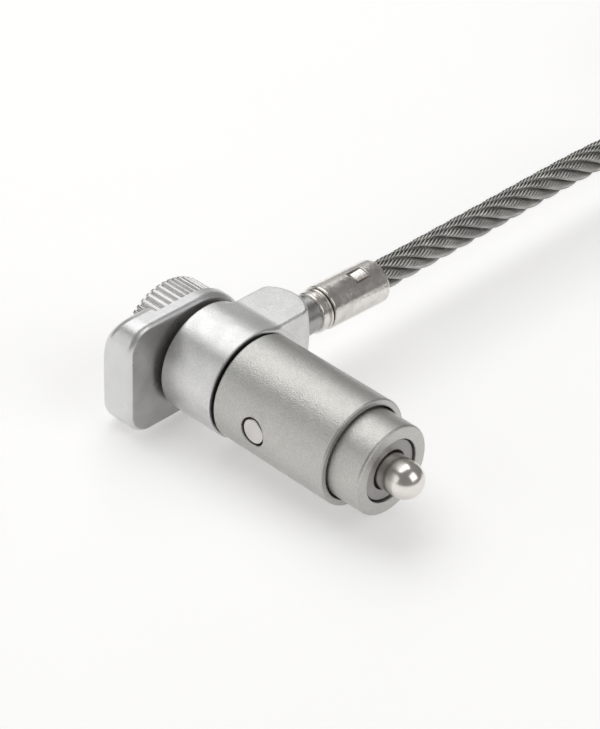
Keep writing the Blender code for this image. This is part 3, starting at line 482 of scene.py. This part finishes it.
def catmull(points, per_span=24):
    """A dense smooth curve through a few route points."""
    pts = [np.array(p, float) for p in points]
    pts = [2 * pts[0] - pts[1], *pts, 2 * pts[-1] - pts[-2]]
    out = []
    for a, b, c, d in zip(pts, pts[1:], pts[2:], pts[3:]):
        t = np.arange(per_span)[:, None] / per_span
        out.append(0.5 * (2 * b + (c - a) * t + (2 * a - 5 * b + 4 * c - d) * t ** 2
                          + (3 * b - 3 * c + d - a) * t ** 3))
    return np.vstack(out + [pts[-2][None]])


def eased(t):
    """A smooth step from 0 to 1."""
    t = np.clip(t, 0, 1)
    return t * t * (3 - 2 * t)


def coil_route():
    """Up the inside of the coil, down its outside over the run, then off to the tail."""
    inner_end, outer_end = INNER_TURNS * TURN, ALL_TURNS * TURN + CROSS_ANGLE
    leave = ALL_TURNS * TURN + LEAVE_ANGLE
    turned = np.arange(COIL_STEP, leave, COIL_STEP)
    radius = INNER_R + (OUTER_R - INNER_R) * eased((turned - inner_end) / CROSS_ANGLE)
    rise = PITCH * np.minimum(turned, inner_end) / TURN
    fall = PITCH * np.clip(turned - inner_end - CROSS_ANGLE / 2, 0, None) / TURN
    height = RUN_ROUTE[-1][2] + rise - fall
    share = eased((turned - outer_end) / (leave - outer_end))
    height = height + (TAIL_ROUTE[0][2] - height) * share
    end = math.hypot(TAIL_ROUTE[0][0] - COIL_X, TAIL_ROUTE[0][1] - COIL_Y)
    radius = radius + (end - radius) * share
    x = COIL_X - radius * np.cos(turned)
    y = COIL_Y + radius * np.sin(turned)
    return np.stack((x, y, height), -1)


def tail_route():
    """From the coil's lowest outer turn, round its outside, to the eye ferrule."""
    return catmull([coil_route()[-8], *TAIL_ROUTE])[24:]


def along_line(points, step):
    """The same line with its points one step apart, and how far along each one is."""
    gap = np.linalg.norm(np.diff(points, axis=0), axis=1)
    run = np.concatenate(([0], np.cumsum(gap)))
    wanted = np.linspace(0, run[-1], int(round(run[-1] / step)) + 1)
    return np.stack([np.interp(wanted, run, points[:, i]) for i in range(3)], -1), wanted


def carried_frames(line):
    """Directions across the line that turn as little as they can, starting from up."""
    tangent = np.gradient(line, axis=0)
    tangent /= np.linalg.norm(tangent, axis=1)[:, None]
    across = np.zeros_like(line)
    across[0] = (0, 0, 1)
    for i in range(1, len(line)):
        carried = across[i - 1] - tangent[i] * (across[i - 1] @ tangent[i])
        across[i] = carried / np.linalg.norm(carried)
    return across, np.cross(tangent, across)


def tube(centre, first, second, shape):
    """Points and faces of a capped tube: shape gives each row's (first, second) offsets."""
    rows, count = shape.shape[:2]
    points = (centre[:, None] + first[:, None] * shape[..., :1] + second[:, None] * shape[..., 1:])
    label = np.arange(rows * count).reshape(rows, count)
    ring = np.roll(label, -1, 1)
    quads = np.stack((label[:-1], ring[:-1], ring[1:], label[1:]), -1).reshape(-1, 4)
    ends = [label[0][::-1].tolist(), label[-1].tolist()]
    return points.reshape(-1, 3), quads.tolist() + ends


def packed_offset(own, reach):
    """Outward and sideways offsets of a wire: pressed strands share the rope's round outline."""
    away = np.sign(np.cos(own)) * np.abs(np.cos(own)) ** 0.7
    lean = STRAND_LEAN * np.sin(own) * reach / WIRE_CIRCLE_R
    distance = STRAND_CIRCLE_R + reach * away
    return distance * np.cos(lean) - STRAND_CIRCLE_R, distance * np.sin(lean)


def rope_parts(line, run, step_frames, detailed):
    """A stretch of rope: single wires in the run, the tail and the eye, lobed strands between."""
    up, side = step_frames
    parts = []
    turn = LAY_PHASE + (run + RUN_ROUTE[0][1] - LAY_PHASE_Y) * TURN / STRAND_LAY
    rows = len(line)
    core = TURN * np.arange(8) / 8
    shape = CORE_R * np.stack((np.cos(core), np.sin(core)), -1)
    parts.append(tube(line, up, side, np.repeat(shape[None], rows, 0)))
    for strand in range(STRANDS):
        angle = turn + TURN * strand / STRANDS
        out = up * np.cos(angle)[:, None] + side * np.sin(angle)[:, None]
        around = side * np.cos(angle)[:, None] - up * np.sin(angle)[:, None]
        middle = line + out * STRAND_CIRCLE_R
        spin = WIRE_TURN * run + 1.1 * strand
        if detailed:
            section = TURN * np.arange(6) / 6
            shape = WIRE_R * np.stack((np.cos(section), np.sin(section)), -1)
            shape = np.repeat(shape[None], rows, 0)
            for number in range(WIRES):
                own = spin + TURN * number / WIRES
                wire_out = out * np.cos(own)[:, None] + around * np.sin(own)[:, None]
                wire_side = around * np.cos(own)[:, None] - out * np.sin(own)[:, None]
                outward, sideways = packed_offset(own, WIRE_CIRCLE_R)
                centre = middle + out * outward[:, None] + around * sideways[:, None]
                parts.append(tube(centre, wire_out, wire_side, shape))
        else:
            lobes = TURN * np.arange(2 * WIRES) / (2 * WIRES)
            reach = np.where(np.arange(2 * WIRES) % 2 == 0, WIRE_CIRCLE_R + WIRE_R,
                             WIRE_CIRCLE_R + 0.3 * WIRE_R)
            own = spin[:, None] + lobes[None]
            parts.append(tube(middle, out, around, np.stack(packed_offset(own, reach), -1)))
    return parts


def eye_route():
    """The tail's end, through the eye ferrule, round the eye and back into the ferrule."""
    start = np.array(TAIL_ROUTE[-1], float)
    tail = tail_route()
    heading = start[:2] - tail[-2][:2]
    heading = heading / np.linalg.norm(heading)
    half = np.array([(x, y + EYE_FERRULE_LENGTH, z) for x, y, z in EYE_ROUTE])
    loop = catmull(np.vstack((half, (half * (-1, 1, 1))[-2::-1])))
    inside = np.linspace((0, 1.0), (2.2, EYE_FERRULE_LENGTH - 1), 12)
    inside = np.column_stack((inside, np.full(12, EYE_ROUTE[0][2])))
    back = (inside * (-1, 1, 1))[::-1][:6]
    local = np.vstack((inside, loop, back))
    x = start[0] + local[:, 0] * heading[1] + (local[:, 1] + GAP) * heading[0]
    y = start[1] - local[:, 0] * heading[0] + (local[:, 1] + GAP) * heading[1]
    return np.column_stack((x, y, local[:, 2]))


ROUTE = np.vstack((catmull(RUN_ROUTE), coil_route()[:-1], tail_route()[:-1], eye_route()))
ROUTE[:, 2] += SURFACE_Z
FINE = 0.5
FINE_LINE, FINE_RUN = along_line(ROUTE, FINE)
FINE_FRAMES = carried_frames(FINE_LINE)
CABLE_LENGTH = FINE_RUN[-1]
TAIL_AT = FINE_RUN[int(np.argmin(np.linalg.norm(
    FINE_LINE - np.array(TAIL_ROUTE[0]) - (0, 0, SURFACE_Z), axis=1)))]
COIL_AT = along_line(catmull(RUN_ROUTE), FINE)[1][-1]


def stretch(low, high, detailed):
    """The rope's parts between two distances along it."""
    keep = (FINE_RUN >= low) & (FINE_RUN <= high)
    frames = tuple(f[keep] for f in FINE_FRAMES)
    return rope_parts(FINE_LINE[keep], FINE_RUN[keep], frames, detailed)


CABLE_PARTS = (stretch(0, COIL_AT, True) + stretch(COIL_AT - 1, TAIL_AT + 1, False)
               + stretch(TAIL_AT, CABLE_LENGTH, True))
CABLE_POINTS, CABLE_FACES, COUNTED = [], [], 0
for part_points, part_faces in CABLE_PARTS:
    CABLE_POINTS.append(part_points)
    CABLE_FACES += [[i + COUNTED for i in face] for face in part_faces]
    COUNTED += len(part_points)
CABLE = piece("cable", np.vstack(CABLE_POINTS), CABLE_FACES, MATERIALS["cable_strand"])
stand_for(CABLE, "cable", "cable_strand", "cable_run", "cable_coil", "cable_tail", "cable_eye")


def hull_outline(circles, reach, steps=20):
    """Points of the taut outline that passes round circles at (across, up)."""
    points = []
    for k in range(steps * 8):
        heading = TURN * k / (steps * 8)
        way = np.array((math.cos(heading), math.sin(heading)))
        best = max(circles, key=lambda c: way @ np.array(c))
        points.append(np.array(best) + way * reach)
    return np.array(points)


def coil_strap():
    """A woven strap drawn tight round the coil's turns on the side towards the lock."""
    low = RUN_ROUTE[-1][2] + 0.75 * PITCH
    first = [(INNER_R, low + PITCH * k) for k in range(4)]
    second = [(OUTER_R, low + PITCH * (0.58 + k)) for k in range(4)]
    inner_reach = CABLE_D / 2 + STRAP_SLACK
    inside = hull_outline(first + second, inner_reach)
    outside = hull_outline(first + second, inner_reach + STRAP_THICKNESS)
    rounds, half = len(inside), STRAP_WIDTH / 2
    rows = []
    for ring, x in ((inside, -half), (outside, -half), (outside, half), (inside, half)):
        bend = COIL_Y - np.sqrt(ring[:, 0] ** 2 - x ** 2)
        rows.append(np.column_stack((np.full(rounds, COIL_X + x), bend, ring[:, 1] + SURFACE_Z)))
    label = np.arange(4 * rounds).reshape(4, rounds)
    beside, above = np.roll(label, -1, 1), np.roll(label, -1, 0)
    quads = np.stack((label, beside, np.roll(above, -1, 1), above), -1).reshape(-1, 4)
    strap = piece("coil_strap", np.vstack(rows), quads.tolist(), MATERIALS["tie_strap"])
    fix_outward(strap)
    return strap


def eye_sleeve():
    """The pressed sleeve that joins the two sides of the cable's end eye."""
    start = np.array(TAIL_ROUTE[-1], float)
    heading = start[:2] - tail_route()[-2][:2]
    heading = heading / np.linalg.norm(heading)

    def field(x, y, z):
        x, y = x - start[0], y - start[1]
        along = x * heading[0] + y * heading[1] - GAP
        across = x * heading[1] - y * heading[0]
        press = sum(eased((1.5 - np.abs(along - at)) / 0.7) for at in PRESSED_AT)
        beside = np.maximum(np.abs(across) - EYE_SLEEVE_HALF_WIDTH, 0)
        oval = np.hypot(beside, z - SURFACE_Z - EYE_SLEEVE_Z) - EYE_SLEEVE_R + PRESS_DEPTH * press
        return round_both(round_both(oval, along - EYE_FERRULE_LENGTH, 0.5), -along, 0.5)

    far = start[:2] + heading * EYE_FERRULE_LENGTH
    low = np.minimum(start[:2], far) - 7.5
    high = np.maximum(start[:2], far) + 7.5
    return surface_net("eye_sleeve", field, (*low, SURFACE_Z - 0.5), (*high, SURFACE_Z + 8), 0.25,
                       MATERIALS["crimp_metal"])


STRAP = stand_for(coil_strap(), "cable", "tie_strap", "coil_tie")
SLEEVE = stand_for(eye_sleeve(), "cable", "polished_nickel", "eye_ferrule")


# ---------------------------------------------------------------- barrel, nose and stud
NOSE_REAR, NOSE_BORE_R, POCKET_R, POCKET_END = -7.7, 4.4, 5.65, 0.2
GUIDE_REAR, GUIDE_FRONT, GUIDE_BORE_R, GUIDE_R = 0.5, 5.82, 3.5, 5.42
STUD_R, STUD_TIP, TAIL_R, TAIL_END = 3.17, 12.35, 1.5, -32.6
JOURNAL_R, JOURNAL_REAR = 7.6, -36.6
FRONT_BORE_R, FRONT_BORE_END = 8.3, -8.0
MIDDLE_BORE_R, MIDDLE_BORE_END = 6.9, -18.9
REAR_BORE_R = 5.8
BUTTON_HOLE_R = 2.5


def barrel_field(x, y, z):
    """A round shell with a thinner journal behind, a stepped bore and the button's hole."""
    radius = np.hypot(y, z)
    shell = round_both(round_both(radius - BARREL_R, x, 0.35), BARREL_REAR - x, 0.3)
    journal = np.maximum(radius - JOURNAL_R, np.maximum(x - BARREL_REAR - 1, JOURNAL_REAR - x))
    front_bore = np.maximum(radius - FRONT_BORE_R, FRONT_BORE_END - x)
    middle_bore = np.maximum(radius - MIDDLE_BORE_R, MIDDLE_BORE_END - x)
    bore = np.minimum(front_bore, np.minimum(middle_bore, radius - REAR_BORE_R))
    hole = np.maximum(np.hypot(x - BUTTON_X, z - BUTTON_Z) - BUTTON_HOLE_R, y)
    body = round_both(np.minimum(shell, journal), -bore, 0.12)
    return round_both(body, -hole, 0.18)


BARREL = surface_net("barrel", barrel_field, (-37.2, -10.1, -10.1), (0.7, 10.1, 10.1), 0.2,
                     MATERIALS["barrel_grey"])
stand_for(BARREL, "barrel", "barrel_grey", "barrel_shell")
NOSE = lathe("nose", [
    (NOSE_REAR, NOSE_BORE_R, 0.2), (NOSE_REAR, NOSE_R, 0.3), (NOSE_FRONT, NOSE_R, 0.45),
    (NOSE_FRONT, POCKET_R, 0.18), (POCKET_END, POCKET_R, 0.1), (POCKET_END, NOSE_BORE_R, 0.1)],
    MATERIALS["barrel_grey"], steps=192)
stand_for(NOSE, "barrel", "barrel_grey", "nose_ring")
GUIDE = lathe("guide", [
    (GUIDE_REAR, GUIDE_BORE_R, 0.1), (GUIDE_REAR, GUIDE_R, 0.1), (GUIDE_FRONT, GUIDE_R, 0.15),
    (GUIDE_FRONT, GUIDE_BORE_R, 0.2)], MATERIALS["dark_oxide"], steps=128)
stand_for(GUIDE, "barrel", "dark_oxide", "stud_guide")
STUD = lathe("stud", [
    (TAIL_END, 0, 0), (TAIL_END, TAIL_R, 0.3), (-20.2, TAIL_R, 0.1), (-20.2, 5.3, 0.2),
    (-19.2, 5.3, 0.2), (-19.2, STUD_R, 0.2), (-16.5, STUD_R, 0.1), (-16.5, 2.3, 0.1),
    (-14.3, 2.3, 0.1), (-14.3, STUD_R, 0.1), (STUD_TIP, STUD_R, STUD_R - 0.005),
    (STUD_TIP, 0, 0)],
    MATERIALS["polished_nickel"], steps=128, segments=20)
stand_for(STUD, "stud", "polished_nickel", "ball_stud")
BUTTON = lathe("button", [
    (-9.2, 0, 0), (-9.2, 2.2, 0.28), (-6.2, 2.2, 0.15), (-6.2, 1.4, 0.1), (-8.3, 1.4, 0.1),
    (-8.3, 0, 0)][::-1], MATERIALS["button_metal"], steps=96, axis="Y",
    centre=(BUTTON_X, 0, BUTTON_Z))
stand_for(BUTTON, "button", "polished_nickel", "release_button")


# ---------------------------------------------------------------- collar with its arm
ARM_REAR, ARM_TOP, ARM_BOTTOM = -35.1, 8.8, -4.2
ARM_END_R, ARM_END_Y, ARM_SIDE_BULGE = 6.8, 8.8, 56
ARM_CORNER_R, ARM_EDGE_R, ARM_ROOT_R = 0.8, 0.5, 0.9
ARM_BORE_FROM, NECK_BORE_R, STEM_HEAD_BORE_R, STEM_HEAD_END = 3, 3.7, 4.35, 11.1


def collar_field(x, y, z):
    """The collar's ring blended into the arm, whose end is rounded seen from above and along X."""
    radius = np.hypot(y, z)
    ring = round_both(round_both(radius - COLLAR_R, x - COLLAR_FRONT, 0.22),
                      COLLAR_REAR - x, 0.42)
    middle, half = (COLLAR_FRONT + ARM_REAR) / 2, (COLLAR_FRONT - ARM_REAR) / 2
    past = y + (z - STEM_Z) ** 2 / ARM_SIDE_BULGE - ARM_END_Y
    end = np.where(past > 0, np.hypot(x - middle, past), np.abs(x - middle)) - ARM_END_R
    plan = round_both(np.abs(x - middle) - half, end, ARM_CORNER_R)
    arm = round_both(plan, np.maximum(z - ARM_TOP, ARM_BOTTOM - z), ARM_EDGE_R)
    arm = np.maximum(arm, -y)
    body = round_union(ring, arm, ARM_ROOT_R)
    stem = np.hypot(x - STEM_X, z - STEM_Z)
    neck = np.maximum(stem - NECK_BORE_R, ARM_BORE_FROM - y)
    head = np.maximum(stem - STEM_HEAD_BORE_R, np.maximum(ARM_BORE_FROM - y, y - STEM_HEAD_END))
    holes = np.minimum(neck, head)
    bores = np.minimum(np.minimum(radius - 7.9, np.maximum(radius - 9.3, -25.9 - x)),
                       np.maximum(radius - 8.9, x + 35.2))
    return round_both(round_both(body, -holes, 0.15), -bores, 0.12)


COLLAR = surface_net("collar_body", collar_field, (-37.0, -10.6, -10.6), (-24.2, 16.4, 10.6),
                     0.17, MATERIALS["satin_silver"])
stand_for(COLLAR, "collar", "satin_silver", "collar")


# ---------------------------------------------------------------- lever and knurled drum
LEVER_FRONT, FLANGE_REAR, LEVER_REAR = -37.3, -39.8, -44.6
LEVER_CORNER_R, LEVER_END = 4.6, -15.7
LEVER_BEVEL, LEVER_REAR_R, LEVER_TOP_TAPER = 0.62, 1.5, 0.036
LOBE_WALL_Y, DRUM_ROOM_R = -7.5, 10.35
SPINDLE_HOLE_R, SPINDLE_HOLE_END = 5.8, -38.1


def lever_field(x, y, z):
    """A thin flange with a square-cornered lobe, which is thick beside the drum."""
    over, past = np.abs(z) - LEVER_R + LEVER_CORNER_R, LEVER_END + LEVER_CORNER_R - y
    lobe = (np.hypot(np.maximum(over, 0), np.maximum(past, 0))
            + np.minimum(np.maximum(over, past), 0) - LEVER_CORNER_R)
    radius = np.hypot(y, z)
    outline = np.where(y < 0, lobe, radius - LEVER_R)
    bevel = (outline + x - LEVER_FRONT + LEVER_BEVEL) * math.sqrt(0.5)
    body = round_both(round_both(outline, bevel, 0.3), x - LEVER_FRONT, 0.12)
    rear = LEVER_REAR + LEVER_TOP_TAPER * np.maximum(z - 2, 0) ** 2
    body = round_both(body, rear - x, LEVER_REAR_R)
    flange = np.maximum(outline, FLANGE_REAR - x)
    flange = round_both(flange, bevel, 0.3)
    flange = round_both(flange, x - LEVER_FRONT, 0.12)
    wall = round_both(body, y - LOBE_WALL_Y, 0.3)
    wall = round_both(wall, DRUM_ROOM_R - radius, 0.25)
    whole = np.minimum(flange, wall)
    hole = np.maximum(radius - SPINDLE_HOLE_R, SPINDLE_HOLE_END - x)
    return np.maximum(whole, -hole)


LEVER = surface_net("lever_body", lever_field, (-44.9, -16.2, -11.3), (-36.6, 11.3, 11.3), 0.17,
                    MATERIALS["lever_metal_with_painted_shade"])
stand_for(LEVER, "lever", "satin_silver", "thumb_lever")


DRUM_R, DRUM_BORE_R, DRUM_FRONT, DRUM_REAR = 10.0, 4.55, -40.1, -46.3
RIBS, PER_RIB, RIB_DEPTH, UNEVEN = 52, 12, 0.58, (0.16, 0.15)


def knurled_drum():
    """A drum with rolled ribs of slightly uneven width and depth."""
    outline, _ = filleted([(DRUM_REAR, DRUM_BORE_R, 0.1), (DRUM_REAR, DRUM_R, 0.7),
                           (DRUM_FRONT, DRUM_R, 0.15), (DRUM_FRONT, DRUM_BORE_R, 0.1)], 5)
    xs = np.linspace(DRUM_REAR + 0.9, DRUM_FRONT - 0.3, 16)
    top = np.column_stack((xs, np.full(16, DRUM_R)))
    split = int(np.argmax(outline[:, 0] > -41))
    outline = np.vstack((outline[:split], top, outline[split:]))
    rng = np.random.default_rng(4)
    widths = 1 + UNEVEN[0] * rng.uniform(-1, 1, RIBS)
    edges = np.concatenate(([0], np.cumsum(widths))) * TURN / widths.sum()
    inner = np.arange(PER_RIB) / PER_RIB
    angle = (edges[:-1, None] + np.diff(edges)[:, None] * inner).ravel()
    crest = np.tile(eased((np.abs(inner - 0.62) - 0.10) / 0.16), RIBS)
    own_depth = RIB_DEPTH * (1 + UNEVEN[1] * rng.uniform(-1, 1, RIBS))
    depth = (1 - crest) * np.repeat(own_depth, PER_RIB)
    x = np.repeat(outline[None, :, 0], len(angle), 0)
    radius = np.repeat(outline[None, :, 1], len(angle), 0)
    radius = radius - depth[:, None] * eased((radius - 8.9) / 0.8)
    points = np.stack((x, radius * np.cos(angle)[:, None], radius * np.sin(angle)[:, None]), -1)
    count = outline.shape[0]
    label = np.arange(len(angle) * count).reshape(len(angle), count)
    quads = np.stack((label, np.roll(label, -1, 1), np.roll(np.roll(label, -1, 0), -1, 1),
                      np.roll(label, -1, 0)), -1).reshape(-1, 4)
    drum = piece("drum", points.reshape(-1, 3), quads.tolist(), MATERIALS["knurl_metal"])
    fix_outward(drum)
    return drum


stand_for(knurled_drum(), "lever", "satin_silver", "knurled_housing")


# ---------------------------------------------------------------- cable end fitting
NECK_R, NECK_END = 3.3, 18.8
STEM = lathe("stem", [
    (8.1, 0, 0), (8.1, 4.0, 0.2), (10.0, 4.0, 0.2), (10.0, NECK_R, 0.1), (NECK_END, NECK_R, 0.1),
    (NECK_END, 3.75, 0.35), (20.3, 3.75, 0.3), (20.3, 3.4, 0.1), (20.65, 3.4, 0.1),
    (20.65, 3.8, 0.2), (21.2, 3.8, 0.2), (21.2, 0, 0)], MATERIALS["ferrule_nickel"], steps=96,
    axis="Y", centre=(STEM_X, 0, STEM_Z))
# Painted shade: the narrow neck between the collar's arm and the ferrule ring takes the darker
# plain_steel material.
STEM.data.materials.append(MATERIALS["plain_steel"])
for polygon in STEM.data.polygons:
    if polygon.center.y < (NECK_END + ORIGIN[1] - 0.02) * MM:
        polygon.material_index = 1
stand_for(STEM, "cable", "polished_nickel", "swivel_stem")


FERRULE_R, FERRULE_BORE_R = 4.0, 3.05
FERRULE_FROM, FERRULE_TO, FERRULE_DROP = 21.4, 35.2, 0.040
TAB_ANGLE, TAB_Y, TAB_LENGTH, TAB_WIDTH = 14.0, 29.9, 3.0, 2.4
TAB_SLIT, TAB_SLOPE = 0.22, 0.12


def ferrule_field(x, y, z):
    """The crimped sleeve, drooping a little with the cable, with a pressed tab in its top."""
    x, z = x - STEM_X, z - STEM_Z + FERRULE_DROP * (y - 21.5)
    radius = np.hypot(x, z)
    sleeve = round_both(round_both(radius - FERRULE_R, FERRULE_FROM - y, 0.3), y - FERRULE_TO, 0.75)
    sleeve = np.maximum(sleeve, -np.maximum(radius - FERRULE_BORE_R, 23 - y))
    angle = np.arctan2(x, z)
    across = (angle - math.radians(TAB_ANGLE)) * radius
    outline = np.maximum(np.abs(y - TAB_Y) - TAB_LENGTH / 2, np.abs(across) - TAB_WIDTH / 2)
    trench = np.maximum(np.abs(outline) - TAB_SLIT, 3.3 - radius)
    tab = np.maximum(outline, radius - 4.05 - TAB_SLOPE * (y - TAB_Y))
    lowered = np.maximum(sleeve, -np.maximum(outline, 3.2 - radius))
    body = np.minimum(lowered, np.maximum(tab, 3.1 - radius))
    return round_both(body, -trench, 0.08)


FERRULE = surface_net("ferrule", ferrule_field, (-34.9, 21.0, -2.5), (-26.0, 36.3, 6.8), 0.1,
                      MATERIALS["ferrule_nickel"])
stand_for(FERRULE, "cable", "polished_nickel", "crimp_ferrule")


# ---------------------------------------------------------------- floor and lights
SPAN, FLOOR_Z = 1.6, -0.0001
CORNERS = [(x * SPAN, y * SPAN, FLOOR_Z) for x, y in ((-1, -1), (1, -1), (1, 1), (-1, 1))]
floor_mesh = bpy.data.meshes.new("floor")
floor_mesh.from_pydata(CORNERS, [], [(0, 1, 2, 3)])
FLOOR = bpy.data.objects.new("floor", floor_mesh)
bpy.context.scene.collection.objects.link(FLOOR)
paper = Shader("paper")
paper.colour(paper.mix(paper.noise(60.0, 2), (0.90, 0.90, 0.90), (0.92, 0.92, 0.92)))
floor_mesh.materials.append(paper.done(metallic=0.0, Roughness=0.85, Emission_Strength=0.32,
                                       Emission_Color=(1, 0.99, 0.98, 1)))


LIGHT_REACH = 0.9            # metres from the lock to every light


def softbox(name, direction, width, height, strength):
    """A large soft light that looks at the lock from one direction; strength is its radiance."""
    data = bpy.data.lights.new(name, "AREA")
    data.shape = "RECTANGLE"
    data.size, data.size_y = width, height
    data.energy = strength * math.pi * width * height
    light = bpy.data.objects.new(name, data)
    aim = Vector(direction).normalized()
    light.matrix_world = (Matrix.Translation(aim * LIGHT_REACH)
                          @ aim.to_track_quat("Z", "Y").to_matrix().to_4x4())
    bpy.context.scene.collection.objects.link(light)


softbox("overhead", (-0.45, 0.13, 0.87), 0.98, 0.88, 1.50)
softbox("left_window", (-0.40, -0.85, 0.35), 0.75, 0.6, 0.75)
softbox("back_fill", (-0.70, 0.62, 0.34), 0.42, 0.42, 0.32)
softbox("right_window", (0.75, 0.20, 0.62), 0.62, 0.62, 1.3)
world = bpy.data.worlds.new("room")
world.use_nodes = True
world.node_tree.nodes["Background"].inputs["Color"].default_value = (0.24, 0.24, 0.235, 1)
bpy.context.scene.world = world
bpy.context.scene.view_settings.view_transform = "Standard"
